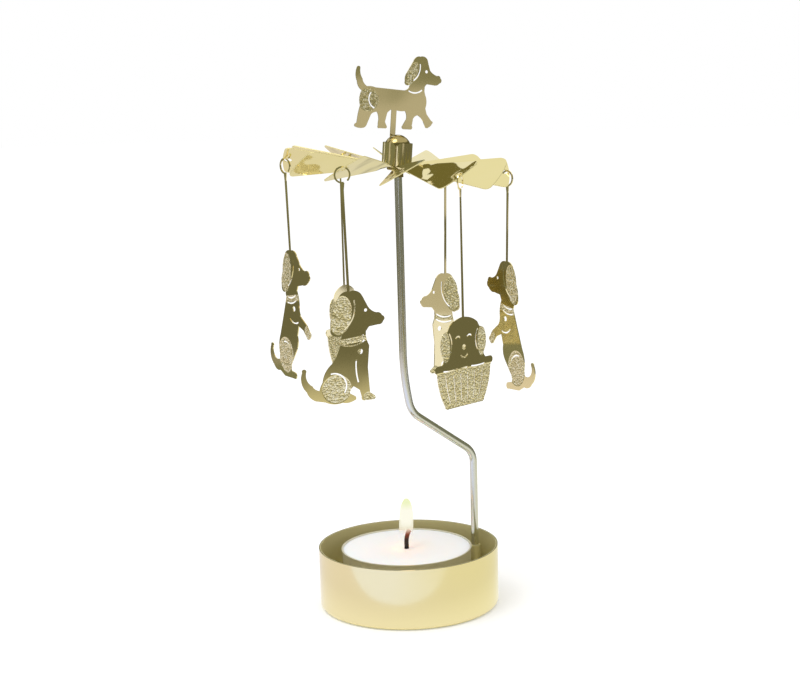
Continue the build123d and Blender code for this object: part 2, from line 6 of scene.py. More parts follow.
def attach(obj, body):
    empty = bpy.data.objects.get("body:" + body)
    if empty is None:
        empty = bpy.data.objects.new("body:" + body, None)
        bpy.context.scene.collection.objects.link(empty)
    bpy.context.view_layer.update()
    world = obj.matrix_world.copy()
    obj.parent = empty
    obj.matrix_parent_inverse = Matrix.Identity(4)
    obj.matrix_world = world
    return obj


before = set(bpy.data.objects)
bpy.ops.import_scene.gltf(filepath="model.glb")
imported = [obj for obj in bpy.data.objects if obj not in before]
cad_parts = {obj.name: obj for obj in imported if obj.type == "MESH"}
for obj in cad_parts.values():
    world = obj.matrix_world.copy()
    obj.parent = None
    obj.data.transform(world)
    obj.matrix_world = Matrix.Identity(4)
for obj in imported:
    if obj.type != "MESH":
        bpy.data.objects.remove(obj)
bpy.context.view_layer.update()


# Dish. A drawn cup of mirror-rolled brass sheet, gold lacquered, which holds the tealight and carries the
# rod. It is pressed in one stroke, so its wall keeps the sheet's mirror, with a faint pull from the die.
dish_radius = 0.026
dish_sheet = 0.0005


def linear(colour):
    """An sRGB hex colour as the linear values that a shader takes."""
    parts = [int(colour[i : i + 2], 16) / 255 for i in (1, 3, 5)]
    return (*[p / 12.92 if p <= 0.04045 else ((p + 0.055) / 1.055) ** 2.4 for p in parts], 1.0)


def add_node(owner, kind, sockets=None, **settings):
    """Adds a node with its settings, and gives each named socket a value or the output that feeds it."""
    node = owner.node_tree.nodes.new(kind)
    for setting, value in settings.items():
        setattr(node, setting, value)
    for socket, value in (sockets or {}).items():
        if isinstance(value, bpy.types.NodeSocket):
            owner.node_tree.links.new(value, node.inputs[socket])
        else:
            node.inputs[socket].default_value = value
    return node


def new_material(name):
    """An empty material and its output node."""
    material = bpy.data.materials.new(name)
    material.use_nodes = True
    material.node_tree.nodes.clear()
    return material, add_node(material, "ShaderNodeOutputMaterial")


def finish_node(node, material):
    """Gives a CAD node its material."""
    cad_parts[node].material_slots[0].material = material


# Mirror-rolled brass: bright and pale greenish gold. The sheet's unevenness makes its reflections waver, in
# waves of about 11 mm, and wiping leaves marks of about 1.4 mm that are a little duller.
drawn_brass, drawn_output = new_material("mirror_rolled_brass_drawn")
place = add_node(drawn_brass, "ShaderNodeTexCoord").outputs["Object"]
unevenness = add_node(drawn_brass, "ShaderNodeTexNoise", {"Vector": place, "Scale": 90.0, "Detail": 1.0})
wiping = add_node(drawn_brass, "ShaderNodeTexNoise", {"Vector": place, "Scale": 700.0, "Detail": 3.0})
wiped = add_node(
    drawn_brass,
    "ShaderNodeMapRange",
    {"Value": wiping.outputs["Fac"], "From Min": 0.3, "From Max": 0.7, "To Min": 0.1, "To Max": 0.17},
)
relief = add_node(
    drawn_brass, "ShaderNodeBump", {"Height": unevenness.outputs["Fac"], "Strength": 0.25, "Distance": 0.0002}
)
# Inside, the die leaves the wall satin, and the lacquer is thicker and greener, so it scatters light too.
# That begins in the middle of the rim's cut edge.
satin_inside = 0.2
scatter_inside = -0.5
flat_place = add_node(
    drawn_brass, "ShaderNodeVectorMath", {0: place, 1: (1.0, 1.0, 0.0)}, operation="MULTIPLY"
)
reach = add_node(drawn_brass, "ShaderNodeVectorMath", {0: flat_place.outputs[0]}, operation="LENGTH")
inside = add_node(
    drawn_brass,
    "ShaderNodeMapRange",
    {
        "Value": reach.outputs["Value"],
        "From Min": dish_radius - 0.6 * dish_sheet,
        "From Max": dish_radius - 0.8 * dish_sheet,
        "To Min": 0.0,
        "To Max": 1.0,
    },
).outputs[0]
satin = add_node(
    drawn_brass, "ShaderNodeMath", {0: inside, 1: satin_inside, 2: wiped.outputs[0]}, operation="MULTIPLY_ADD"
)
clouded = add_node(
    drawn_brass, "ShaderNodeMath", {0: inside, 1: scatter_inside, 2: 1.0}, operation="MULTIPLY_ADD"
)
lacquer = add_node(
    drawn_brass,
    "ShaderNodeMix",
    {"Factor": inside, "A": linear("#EFE1AD"), "B": linear("#E6DEAC")},
    data_type="RGBA",
)
surface = add_node(
    drawn_brass,
    "ShaderNodeBsdfPrincipled",
    {
        "Base Color": lacquer.outputs["Result"],
        "Metallic": clouded.outputs[0],
        "Roughness": satin.outputs[0],
        "Normal": relief.outputs["Normal"],
    },
)
drawn_brass.node_tree.links.new(surface.outputs["BSDF"], drawn_output.inputs["Surface"])
finish_node("dish", drawn_brass)


# Tealight. A thin aluminium cup, a pressed tinplate disc that holds a braided cotton wick, and paraffin wax
# poured round both. It stands loose on the dish's floor.
tealight_middle = Vector((0.0, 0.0016, 0.0))
wick_foot = Vector((-0.0005, 0.0016, 0.0))

# Aluminium foil: a warm light grey, crinkled so finely by the deep drawing, in folds of about 1.1 mm, that
# it scatters light nearly as paper does.
foil, foil_output = new_material("drawn_aluminium_foil")
place = add_node(foil, "ShaderNodeTexCoord").outputs["Object"]
crinkle = add_node(foil, "ShaderNodeTexNoise", {"Vector": place, "Scale": 900.0, "Detail": 2.0})
relief = add_node(
    foil, "ShaderNodeBump", {"Height": crinkle.outputs["Fac"], "Strength": 0.5, "Distance": 0.0001}
)
surface = add_node(
    foil,
    "ShaderNodeBsdfPrincipled",
    {
        "Base Color": linear("#E4DFC8"),
        "Metallic": 0.65,
        "Roughness": 0.4,
        "Normal": relief.outputs["Normal"],
    },
)
foil.node_tree.links.new(surface.outputs["BSDF"], foil_output.inputs["Surface"])
finish_node("tealight_cup", foil)

# Tinplate: grey and softly bright, as pressed. Its spangles of about 1.3 mm are duller at their edges.
tinplate, tinplate_output = new_material("pressed_tinplate")
place = add_node(tinplate, "ShaderNodeTexCoord").outputs["Object"]
spangle = add_node(tinplate, "ShaderNodeTexVoronoi", {"Vector": place, "Scale": 800.0})
dulled = add_node(
    tinplate,
    "ShaderNodeMapRange",
    {"Value": spangle.outputs["Distance"], "From Min": 0.0, "From Max": 0.8, "To Min": 0.25, "To Max": 0.4},
)
surface = add_node(
    tinplate,
    "ShaderNodeBsdfPrincipled",
    {"Base Color": linear("#C9CACB"), "Metallic": 1.0, "Roughness": dulled.outputs[0]},
)
tinplate.node_tree.links.new(surface.outputs["BSDF"], tinplate_output.inputs["Surface"])
finish_node("wick_holder", tinplate)

# Paraffin wax: white, lets light a little way in, and is smooth where the pool round the wick has melted.
# The rest has a matt bloom, in patches of about 2.5 mm. Heights are shrunk for it, so that the pool is
# round as seen from above.
pool_radius = 0.0125
height_shrink = 10.0
wax, wax_output = new_material("poured_paraffin_wax")
place = add_node(wax, "ShaderNodeTexCoord").outputs["Object"]
from_wick = add_node(
    wax,
    "ShaderNodeMapping",
    {"Vector": place, "Location": wick_foot, "Scale": (1.0, 1.0, height_shrink)},
    vector_type="TEXTURE",
)
reach = add_node(wax, "ShaderNodeVectorMath", {0: from_wick.outputs[0]}, operation="LENGTH")
melted = add_node(
    wax,
    "ShaderNodeMapRange",
    {
        "Value": reach.outputs["Value"],
        "From Min": pool_radius * 0.6,
        "From Max": pool_radius,
        "To Min": 0.32,
        "To Max": 0.5,
    },
    interpolation_type="SMOOTHSTEP",
)
bloom = add_node(wax, "ShaderNodeTexNoise", {"Vector": place, "Scale": 400.0, "Detail": 3.0})
relief = add_node(
    wax, "ShaderNodeBump", {"Height": bloom.outputs["Fac"], "Strength": 0.15, "Distance": 0.0002}
)
surface = add_node(
    wax,
    "ShaderNodeBsdfPrincipled",
    {
        "Base Color": linear("#FAF9F8"),
        "Roughness": melted.outputs[0],
        "IOR": 1.44,
        "Specular IOR Level": 0.3,
        "Subsurface Weight": 0.4,
        "Subsurface Radius": (0.003, 0.002, 0.0014),
        "Subsurface Scale": 1.0,
        "Normal": relief.outputs["Normal"],
    },
)
wax.node_tree.links.new(surface.outputs["BSDF"], wax_output.inputs["Surface"])
finish_node("wax", wax)

# Braided cotton, in strands about 0.7 mm apart, charred black where it has burnt, and glowing dull orange
# towards its curled tip, where its base colour is painted red-brown too, as painted glow.
wick_glow_start = 0.0180
wick_glow_end = 0.0208
charred_wick, wick_output = new_material("charred_cotton_wick")
place = add_node(charred_wick, "ShaderNodeTexCoord").outputs["Object"]
split = add_node(charred_wick, "ShaderNodeSeparateXYZ", {"Vector": place})
heat = add_node(
    charred_wick,
    "ShaderNodeMapRange",
    {
        "Value": split.outputs["Z"],
        "From Min": wick_glow_start,
        "From Max": wick_glow_end,
        "To Min": 0.0,
        "To Max": 1.0,
    },
    interpolation_type="SMOOTHSTEP",
)
braid = add_node(
    charred_wick,
    "ShaderNodeTexWave",
    {"Vector": place, "Scale": 500.0, "Distortion": 3.0, "Detail": 1.0},
    bands_direction="DIAGONAL",
)
relief = add_node(
    charred_wick, "ShaderNodeBump", {"Height": braid.outputs["Fac"], "Strength": 0.8, "Distance": 0.0002}
)
glow = add_node(charred_wick, "ShaderNodeMath", {0: heat.outputs[0], 1: 0.45}, operation="MULTIPLY")
# Base colour: black char, painted red-brown towards the tip as painted glow from the heat.
char_and_painted_glow = add_node(
    charred_wick,
    "ShaderNodeMix",
    {"Factor": heat.outputs[0], "A": linear("#0E0B09"), "B": linear("#2E1209")},
    data_type="RGBA",
)
surface = add_node(
    charred_wick,
    "ShaderNodeBsdfPrincipled",
    {
        "Base Color": char_and_painted_glow.outputs["Result"],
        "Roughness": 0.9,
        "Emission Color": linear("#B23C0E"),
        "Emission Strength": glow.outputs[0],
        "Normal": relief.outputs["Normal"],
    },
)
charred_wick.node_tree.links.new(surface.outputs["BSDF"], wick_output.inputs["Surface"])
finish_node("wick", charred_wick)


# Flame. Burning vapour round the wick's tip: a bright core inside a thin veil, narrow at the top, which
# rides with the tealight. Each is a ring at the wick, drawn up and in ring by ring.
flame_foot = 0.0160
flame_top = 0.0300
core_rings = [
    (0.0212, 0.0004, -0.00045),
    (0.0218, 0.0010, -0.00045),
    (0.0230, 0.0015, -0.00042),
    (0.0246, 0.0017, -0.00038),
    (0.0264, 0.0016, -0.00034),
    (0.0281, 0.0013, -0.00028),
    (0.0294, 0.0009, -0.00022),
    (0.0302, 0.0004, -0.00018),
]
veil_rings = [
    (0.0163, 0.0009, -0.0006),
    (0.0172, 0.0014, -0.0006),
    (0.0190, 0.0019, -0.0005),
    (0.0214, 0.0021, -0.0005),
    (0.0240, 0.0021, -0.0004),
    (0.0263, 0.0020, -0.0003),
    (0.0283, 0.0017, -0.0003),
    (0.0299, 0.0011, -0.0002),
    (0.0307, 0.0005, -0.0002),
]


def flame_shell(name, rings):
    """A closed shell of rings, each given by its height, radius and shift to the right."""
    bpy.ops.object.select_all(action="DESELECT")
    height, radius, shift = rings[0]
    bpy.ops.mesh.primitive_circle_add(
        vertices=20, radius=radius, fill_type="NGON", location=tealight_middle + Vector((shift, 0.0, height))
    )
    shell = bpy.context.object
    shell.name = name
    bpy.ops.object.mode_set(mode="EDIT")
    bpy.ops.mesh.select_all(action="SELECT")
    bpy.ops.mesh.flip_normals()
    for below, ring in zip(rings, rings[1:]):
        bpy.ops.mesh.extrude_region_move(
            TRANSFORM_OT_translate={"value": (ring[2] - below[2], 0.0, ring[0] - below[0])}
        )
        bpy.ops.transform.resize(value=(ring[1] / below[1], ring[1] / below[1], 1.0))
    bpy.ops.mesh.select_all(action="SELECT")
    bpy.ops.mesh.normals_make_consistent(inside=False)
    bpy.ops.object.mode_set(mode="OBJECT")
    smooth = shell.modifiers.new("rounding", "SUBSURF")
    smooth.levels = 2
    smooth.render_levels = 2
    bpy.ops.object.modifier_apply(modifier="rounding")
    bpy.ops.object.transform_apply(location=True, rotation=True, scale=True)
    bpy.ops.object.shade_smooth()
    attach(shell, "tealight")
    return shell


# Burning vapour: pale yellow where soot glows, peach and clear at its foot, thin and greenish at its tip.
def glowing_vapour(name, low, middle, high, cover, clear, full):
    """A glow with three colours up its height, nearly clear at one share of it and full at another."""
    material, output = new_material(name)
    place = add_node(material, "ShaderNodeTexCoord").outputs["Object"]
    split = add_node(material, "ShaderNodeSeparateXYZ", {"Vector": place})
    rise = add_node(
        material,
        "ShaderNodeMapRange",
        {
            "Value": split.outputs["Z"],
            "From Min": flame_foot,
            "From Max": flame_top,
            "To Min": 0.0,
            "To Max": 1.0,
        },
    )
    colours = add_node(material, "ShaderNodeValToRGB", {"Fac": rise.outputs[0]})
    ramp = colours.color_ramp
    ramp.elements[0].position = 0.28
    ramp.elements[0].color = linear(low)
    ramp.elements[1].position = 0.97
    ramp.elements[1].color = linear(high)
    ramp.elements.new(0.46).color = linear(middle)
    ramp.elements.new(0.82).color = linear(middle)
    thin = add_node(
        material,
        "ShaderNodeMapRange",
        {
            "Value": rise.outputs[0],
            "From Min": clear,
            "From Max": full,
            "To Min": cover * 0.04,
            "To Max": cover,
        },
        interpolation_type="SMOOTHSTEP",
    )
    surface = add_node(
        material,
        "ShaderNodeBsdfPrincipled",
        {
            "Base Color": linear("#000000"),
            "Roughness": 1.0,
            "Specular IOR Level": 0.0,
            "Emission Color": colours.outputs["Color"],
            "Emission Strength": 1.0,
            "Alpha": thin.outputs[0],
        },
    )
    material.node_tree.links.new(surface.outputs["BSDF"], output.inputs["Surface"])
    return material


flame_core = flame_shell("flame_core", core_rings)
flame_core.data.materials.append(
    glowing_vapour("glowing_soot", "#FFEFD0", "#FFFEF6", "#F8FBE4", cover=0.9, clear=0.40, full=0.62)
)
flame_veil = flame_shell("flame_veil", veil_rings)
flame_veil.data.materials.append(
    glowing_vapour("thin_burning_vapour", "#FFD8B8", "#FEFBE4", "#EAF2B0", cover=0.65, clear=0.3, full=0.44)
)


# Rod and its socket. A short tube of the dish's brass stands on the dish's floor, and one bent steel wire
# is pressed into it, with easy bends as the bending pins leave them.
finish_node("rod_socket", drawn_brass)

# Drawn steel wire, bright annealed: silver grey, with a fine pull along its length, in 0.25 mm lines.
steel_wire, wire_output = new_material("drawn_steel_wire")
place = add_node(steel_wire, "ShaderNodeTexCoord").outputs["Object"]
along = add_node(steel_wire, "ShaderNodeMapping", {"Vector": place, "Scale": (4000.0, 4000.0, 60.0)})
pull = add_node(steel_wire, "ShaderNodeTexNoise", {"Vector": along.outputs[0], "Scale": 1.0, "Detail": 2.0})
worn = add_node(
    steel_wire,
    "ShaderNodeMapRange",
    {"Value": pull.outputs["Fac"], "From Min": 0.3, "From Max": 0.7, "To Min": 0.17, "To Max": 0.25},
)
relief = add_node(
    steel_wire, "ShaderNodeBump", {"Height": pull.outputs["Fac"], "Strength": 0.04, "Distance": 0.0001}
)
surface = add_node(
    steel_wire,
    "ShaderNodeBsdfPrincipled",
    {
        "Base Color": linear("#D9D9CE"),
        "Metallic": 1.0,
        "Roughness": worn.outputs[0],
        "Normal": relief.outputs["Normal"],
    },
)
steel_wire.node_tree.links.new(surface.outputs["BSDF"], wire_output.inputs["Surface"])
finish_node("rod", steel_wire)


# Bearing. A turned brass sleeve on the rod's end holds a needle ground from the same steel wire, and a
# turned cap, drilled from below, rests on the needle's point. A bush pressed into the cap grips the wheel.
finish_node("pivot_needle", steel_wire)

# Turned brass: a browner gold than the sheet, with the lathe's fine rings round it. Its base colour is also
# painted darker, as painted shade for the dark that the cap and bush reflect. Real rings are nearer to each
# other than the 0.26 mm that they are drawn at, which is as coarse as they need to show.
turned_brass_painted_shade, turned_output = new_material("turned_brass_painted_shade")
place = add_node(turned_brass_painted_shade, "ShaderNodeTexCoord").outputs["Object"]
rings = add_node(
    turned_brass_painted_shade,
    "ShaderNodeTexWave",
    {"Vector": place, "Scale": 1200.0, "Distortion": 0.4, "Detail": 1.0},
    bands_direction="Z",
)
relief = add_node(
    turned_brass_painted_shade, "ShaderNodeBump", {"Height": rings.outputs["Fac"], "Strength": 0.08, "Distance": 0.00005}
)
# The darker, browner base colour here is partly painted shade for the cap's dark reflections.
surface = add_node(
    turned_brass_painted_shade,
    "ShaderNodeBsdfPrincipled",
    {
        "Base Color": linear("#AA9A64"),
        "Metallic": 1.0,
        "Roughness": 0.12,
        "Normal": relief.outputs["Normal"],
    },
)
turned_brass_painted_shade.node_tree.links.new(surface.outputs["BSDF"], turned_output.inputs["Surface"])
for turned in ("needle_holder", "bearing_cap", "clamp_bush"):
    finish_node(turned, turned_brass_painted_shade)


# Wind wheel. One disc of mirror-rolled brass sheet, stamped into twelve blades that are twisted at their
# roots. The stamp leaves each blade slightly dished, in dents of about 9 mm, so reflections in it are wavy.
blade_brass, blade_output = new_material("mirror_rolled_brass_stamped")
place = add_node(blade_brass, "ShaderNodeTexCoord").outputs["Object"]
dent = add_node(blade_brass, "ShaderNodeTexNoise", {"Vector": place, "Scale": 110.0, "Detail": 1.0})
wiping = add_node(blade_brass, "ShaderNodeTexNoise", {"Vector": place, "Scale": 800.0, "Detail": 3.0})
wiped = add_node(
    blade_brass,
    "ShaderNodeMapRange",
    {"Value": wiping.outputs["Fac"], "From Min": 0.3, "From Max": 0.7, "To Min": 0.03, "To Max": 0.07},
)
relief = add_node(
    blade_brass, "ShaderNodeBump", {"Height": dent.outputs["Fac"], "Strength": 0.6, "Distance": 0.0006}
)
# The stamp shears the sheet, so the blades' steep cut edges are grainy and pale where their faces are
# mirrors. Blades are pitched by 32.5 degrees, so at any turn an edge's normal rises less than a face's.
edge_rise = 0.68
face_rise = 0.72
satin_edge = 0.5
scatter_edge = -0.6
facing = add_node(blade_brass, "ShaderNodeNewGeometry").outputs["True Normal"]
upward = add_node(blade_brass, "ShaderNodeSeparateXYZ", {"Vector": facing})
steepness = add_node(blade_brass, "ShaderNodeMath", {0: upward.outputs["Z"]}, operation="ABSOLUTE")
sheared = add_node(
    blade_brass,
    "ShaderNodeMapRange",
    {
        "Value": steepness.outputs[0],
        "From Min": edge_rise,
        "From Max": face_rise,
        "To Min": 1.0,
        "To Max": 0.0,
    },
).outputs[0]
edge_or_face = add_node(
    blade_brass, "ShaderNodeMath", {0: sheared, 1: satin_edge, 2: wiped.outputs[0]}, operation="MULTIPLY_ADD"
)
scattering = add_node(
    blade_brass, "ShaderNodeMath", {0: sheared, 1: scatter_edge, 2: 1.0}, operation="MULTIPLY_ADD"
)
surface = add_node(
    blade_brass,
    "ShaderNodeBsdfPrincipled",
    {
        "Base Color": linear("#E6DA9E"),
        "Metallic": scattering.outputs[0],
        "Roughness": edge_or_face.outputs[0],
        "Normal": relief.outputs["Normal"],
    },
)
blade_brass.node_tree.links.new(surface.outputs["BSDF"], blade_output.inputs["Surface"])
finish_node("wind_wheel", blade_brass)


# Hanging figures. Each is one piece of the same sheet with its ring and strip, and parts of it are etched
# satin. The ring is hooked through the hole in its blade.
sitting_patches = [
    ("oval", 0.49, 0.79, 0.13, 0.22, -12.0),
    ("band", 0.64, 0.56, 0.20, 0.030, 6.0),
    ("oval", 0.40, 0.13, 0.17, 0.16, 0.0),
    ("oval", 0.79, 0.03, 0.08, 0.06, 0.0),
]
begging_patches = [
    ("oval", 0.45, 0.83, 0.11, 0.22, -12.0),
    ("band", 0.54, 0.63, 0.16, 0.035, 6.0),
    ("oval", 0.35, 0.18, 0.16, 0.20, 0.0),
    ("oval", 0.86, 0.38, 0.07, 0.08, 0.0),
]
basket_patches = [
    ("band", 0.50, 0.21, 0.50, 0.215, 0.0),
    ("oval", 0.18, 0.70, 0.08, 0.18, 4.0),
    ("oval", 0.82, 0.70, 0.08, 0.18, -4.0),
]
# Each kind's width, its height, how far its strip ends from its left edge, its slant and its satin patches.
sitting = (0.0237, 0.0299, 0.01422, 0.0241, sitting_patches)
begging = (0.0250, 0.0366, 0.01400, 0.0374, begging_patches)
basket = (0.0236, 0.0242, 0.01180, 0.0, basket_patches)
# Each figure's azimuth in degrees, the place of its strip's end and its kind.
hanging_sheets = {
    "sitting_dog_front": (17.7, (-0.01417, -0.02745, 0.09557), sitting),
    "sitting_dog_back": (217.7, (0.01340, 0.02745, 0.09310), sitting),
    "begging_dog_left": (304.7, (-0.03095, -0.00184, 0.10430), begging),
    "begging_dog_right": (120.7, (0.03021, 0.00188, 0.09898), begging),
    "basket_dog_front": (46.7, (0.01627, -0.02634, 0.08781), basket),
    "basket_dog_back": (242.7, (-0.01704, 0.02634, 0.09067), basket),
}


def etched_sheet(name, across, up, corner, width, height, patches):
    """Mirror brass with satin patches, each given by its shape, middle, half sizes and turn.

    The middle is in shares of the figure's width and height, and the half sizes are in shares of its width.
    """
    material, output = new_material(name)
    place = add_node(material, "ShaderNodeTexCoord").outputs["Object"]
    nearest = None
    for shape, across_share, up_share, half_across, half_up, turn in patches:
        middle = corner + across * (across_share * width) + up * (up_share * height)
        along = across * cos(radians(turn)) + up * sin(radians(turn))
        upward = up * cos(radians(turn)) - across * sin(radians(turn))
        turned = Matrix((along, upward.cross(along), upward)).transposed().to_euler()
        patch_place = add_node(
            material,
            "ShaderNodeMapping",
            {
                "Vector": place,
                "Location": middle,
                "Rotation": turned,
                "Scale": (half_across * width, 1.0, half_up * width),
            },
            vector_type="TEXTURE",
        )
        if shape == "oval":
            reach = add_node(
                material, "ShaderNodeVectorMath", {0: patch_place.outputs[0]}, operation="LENGTH"
            ).outputs["Value"]
        else:
            sides = add_node(
                material, "ShaderNodeVectorMath", {0: patch_place.outputs[0]}, operation="ABSOLUTE"
            )
            side = add_node(material, "ShaderNodeSeparateXYZ", {"Vector": sides.outputs[0]})
            reach = add_node(
                material, "ShaderNodeMath", {0: side.outputs["X"], 1: side.outputs["Z"]}, operation="MAXIMUM"
            ).outputs[0]
        if nearest is None:
            nearest = reach
        else:
            nearest = add_node(
                material, "ShaderNodeMath", {0: nearest, 1: reach}, operation="MINIMUM"
            ).outputs[0]
    patch = add_node(
        material,
        "ShaderNodeMapRange",
        {"Value": nearest, "From Min": 0.97, "From Max": 1.03, "To Min": 1.0, "To Max": 0.0},
    ).outputs[0]
    # Etched pebbles: satin grains of about 0.55 mm, each a little lighter or darker, with mirror between.
    pebbles = add_node(material, "ShaderNodeTexVoronoi", {"Vector": place, "Scale": 1800.0})
    pebble = add_node(
        material,
        "ShaderNodeMapRange",
        {
            "Value": pebbles.outputs["Distance"],
            "From Min": 0.44,
            "From Max": 0.58,
            "To Min": 1.0,
            "To Max": 0.25,
        },
    ).outputs[0]
    etched = add_node(material, "ShaderNodeMath", {0: patch, 1: pebble}, operation="MULTIPLY").outputs[0]
    shades = add_node(material, "ShaderNodeSeparateXYZ", {"Vector": pebbles.outputs["Color"]})
    grain_colour = add_node(
        material,
        "ShaderNodeMix",
        {"Factor": shades.outputs["X"], "A": linear("#CDBE88"), "B": linear("#FFF9DE")},
        data_type="RGBA",
    )
    crown = add_node(
        material, "ShaderNodeMath", {0: pebbles.outputs["Distance"], 1: patch}, operation="MULTIPLY"
    )
    fine_relief = add_node(
        material,
        "ShaderNodeBump",
        {"Height": crown.outputs[0], "Strength": 0.6, "Distance": 0.0003},
        invert=True,
    )
    # The whole figure is very slightly dished, in dents of about 17 mm.
    dent = add_node(material, "ShaderNodeTexNoise", {"Vector": place, "Scale": 60.0, "Detail": 1.0})
    relief = add_node(
        material,
        "ShaderNodeBump",
        {
            "Height": dent.outputs["Fac"],
            "Strength": 0.3,
            "Distance": 0.0004,
            "Normal": fine_relief.outputs["Normal"],
        },
    )
    roughness = add_node(
        material,
        "ShaderNodeMapRange",
        {"Value": etched, "From Min": 0.0, "From Max": 1.0, "To Min": 0.08, "To Max": 0.46},
    )
    colour = add_node(
        material,
        "ShaderNodeMix",
        {"Factor": etched, "A": linear("#EFE1AD"), "B": grain_colour.outputs["Result"]},
        data_type="RGBA",
    )
    frosted = add_node(
        material,
        "ShaderNodeMapRange",
        {"Value": etched, "From Min": 0.0, "From Max": 1.0, "To Min": 1.0, "To Max": 0.7},
    )
    surface = add_node(
        material,
        "ShaderNodeBsdfPrincipled",
        {
            "Base Color": colour.outputs["Result"],
            "Metallic": frosted.outputs[0],
            "Roughness": roughness.outputs[0],
            "Normal": relief.outputs["Normal"],
        },
    )
    material.node_tree.links.new(surface.outputs["BSDF"], output.inputs["Surface"])
    return material


for figure, (azimuth, strip_end, (width, height, strip_place, slant, patches)) in hanging_sheets.items():
    across = Vector((cos(radians(azimuth)), sin(radians(azimuth)), slant)).normalized()
    normal = Vector((sin(radians(azimuth)), -cos(radians(azimuth)), 0.0))
    up = normal.cross(across)
    corner = Vector(strip_end) - across * strip_place - up * height
    etched_brass = etched_sheet(f"etched_brass_{figure}", across, up, corner, width, height, patches)
    finish_node(figure, etched_brass)


# Top figure. One piece of the same sheet with a stem, rolled into a spring band at its foot, which clips
# round the cap. It leans with the wheel and turns with it, and its ear and haunch are etched satin.
wheel_lean = radians(4.9)
stem_azimuth = radians(113.0)
needle_tip = Vector((0.0, 0.0, 0.1315))
band_radius = 0.0042
band_top = 0.0020
stem_rise = 0.00365
top_width = 0.0258
top_height = 0.0204
stem_share = 0.47
trotting_patches = [
    ("oval", 0.16, 0.38, 0.12, 0.12, 0.0),
    ("oval", 0.66, 0.76, 0.055, 0.13, -20.0),
]
wheel_right = Vector((cos(wheel_lean), 0.0, -sin(wheel_lean)))
wheel_back = Vector((0.0, 1.0, 0.0))
wheel_up = Vector((sin(wheel_lean), 0.0, cos(wheel_lean)))
across = wheel_right * sin(stem_azimuth) - wheel_back * cos(stem_azimuth)
outward = wheel_right * cos(stem_azimuth) + wheel_back * sin(stem_azimuth)
stem_top = needle_tip + outward * band_radius + wheel_up * (band_top + stem_rise)
corner = stem_top - across * (stem_share * top_width)
etched_brass = etched_sheet(
    "etched_brass_top_figure", across, wheel_up, corner, top_width, top_height, trotting_patches
)
finish_node("top_figure", etched_brass)


# Studio. The object stands on matt white paper in a plain white room. Dark felt and white and grey cards
# stand and lie round it, as they do round polished metal, and only the metal shows them.
bpy.ops.object.select_all(action="DESELECT")
bpy.ops.mesh.primitive_circle_add(vertices=96, radius=4.0, fill_type="NGON", location=(0.0, 0.0, 0.0))
paper_sheet = bpy.context.object
paper_sheet.name = "paper_sheet"


def seen_ray(owner):
    """1 where the camera looks, directly, in metal or through glass, and 0 for the light on matt surfaces."""
    ray = add_node(owner, "ShaderNodeLightPath")
    direct = add_node(
        owner,
        "ShaderNodeMath",
        {0: ray.outputs["Is Camera Ray"], 1: ray.outputs["Is Glossy Ray"]},
        operation="MAXIMUM",
    )
    return add_node(
        owner,
        "ShaderNodeMath",
        {0: direct.outputs[0], 1: ray.outputs["Is Transmission Ray"]},
        operation="MAXIMUM",
    ).outputs[0]


# Matt paper: plain white, with the object's soft shadow on it.
paper, paper_output = new_material("matt_white_paper")
matt = add_node(paper, "ShaderNodeBsdfDiffuse", {"Color": linear("#F4F4F4")})
lift = add_node(paper, "ShaderNodeEmission", {"Color": linear("#FFFFFF"), "Strength": 0.2})
seen = add_node(paper, "ShaderNodeAddShader", {0: matt.outputs[0], 1: lift.outputs[0]})
choice = add_node(paper, "ShaderNodeMixShader", {0: seen_ray(paper), 1: matt.outputs[0], 2: seen.outputs[0]})
paper.node_tree.links.new(choice.outputs[0], paper_output.inputs["Surface"])
paper_sheet.data.materials.append(paper)


def hide_but_in_metal(piece, material):
    """Lets a card or cloth show in polished metal alone."""
    piece.data.materials.append(material)
    piece.visible_camera = False
    piece.visible_diffuse = False
    piece.visible_shadow = False


# Graded card: lies on the paper round the dish, white at it, warmer and a little darker outwards, bluish at
# the left and yellowish at the right, and dark from about 0.4 m on. It gives the brass its slow change from
# pale to deep. A strength over 1 lets its blue pass white.
card_hole = 0.0262
card_spread = 62.0
ramp_end = 0.5
tint_edge = 0.06
light_middle = (-0.09, -0.06, 0.0)
light_reach = 0.33
dark_reach = 0.45
graded_strength = 1.08
graded, graded_output = new_material("graded_card")
place = add_node(graded, "ShaderNodeTexCoord").outputs["Object"]
reach = add_node(graded, "ShaderNodeVectorMath", {0: place}, operation="LENGTH")
near = add_node(
    graded,
    "ShaderNodeMapRange",
    {"Value": reach.outputs["Value"], "From Min": 0.0, "From Max": ramp_end, "To Min": 0.0, "To Max": 1.0},
)
near_tones = add_node(graded, "ShaderNodeValToRGB", {"Fac": near.outputs[0]})
near_tones.color_ramp.elements[0].position = 0.06
near_tones.color_ramp.elements[0].color = linear("#FFFFFF")
near_tones.color_ramp.elements[1].position = 0.66
near_tones.color_ramp.elements[1].color = linear("#E7E1D7")
near_tones.color_ramp.elements.new(0.10).color = linear("#F3F1EF")
near_tones.color_ramp.elements.new(0.24).color = linear("#F6F3F1")
split = add_node(graded, "ShaderNodeSeparateXYZ", {"Vector": place})
side = add_node(
    graded,
    "ShaderNodeMapRange",
    {
        "Value": split.outputs["X"],
        "From Min": -tint_edge,
        "From Max": tint_edge,
        "To Min": 0.0,
        "To Max": 1.0,
    },
)
tint = add_node(
    graded,
    "ShaderNodeMix",
    {"Factor": side.outputs[0], "A": linear("#F7F5FF"), "B": linear("#F5F7E9")},
    data_type="RGBA",
)
tinted = add_node(
    graded,
    "ShaderNodeMix",
    {"Factor": 1.0, "A": near_tones.outputs[0], "B": tint.outputs["Result"]},
    data_type="RGBA",
    blend_type="MULTIPLY",
)
from_middle = add_node(
    graded, "ShaderNodeMapping", {"Vector": place, "Location": light_middle}, vector_type="TEXTURE"
)
away = add_node(graded, "ShaderNodeVectorMath", {0: from_middle.outputs[0]}, operation="LENGTH")
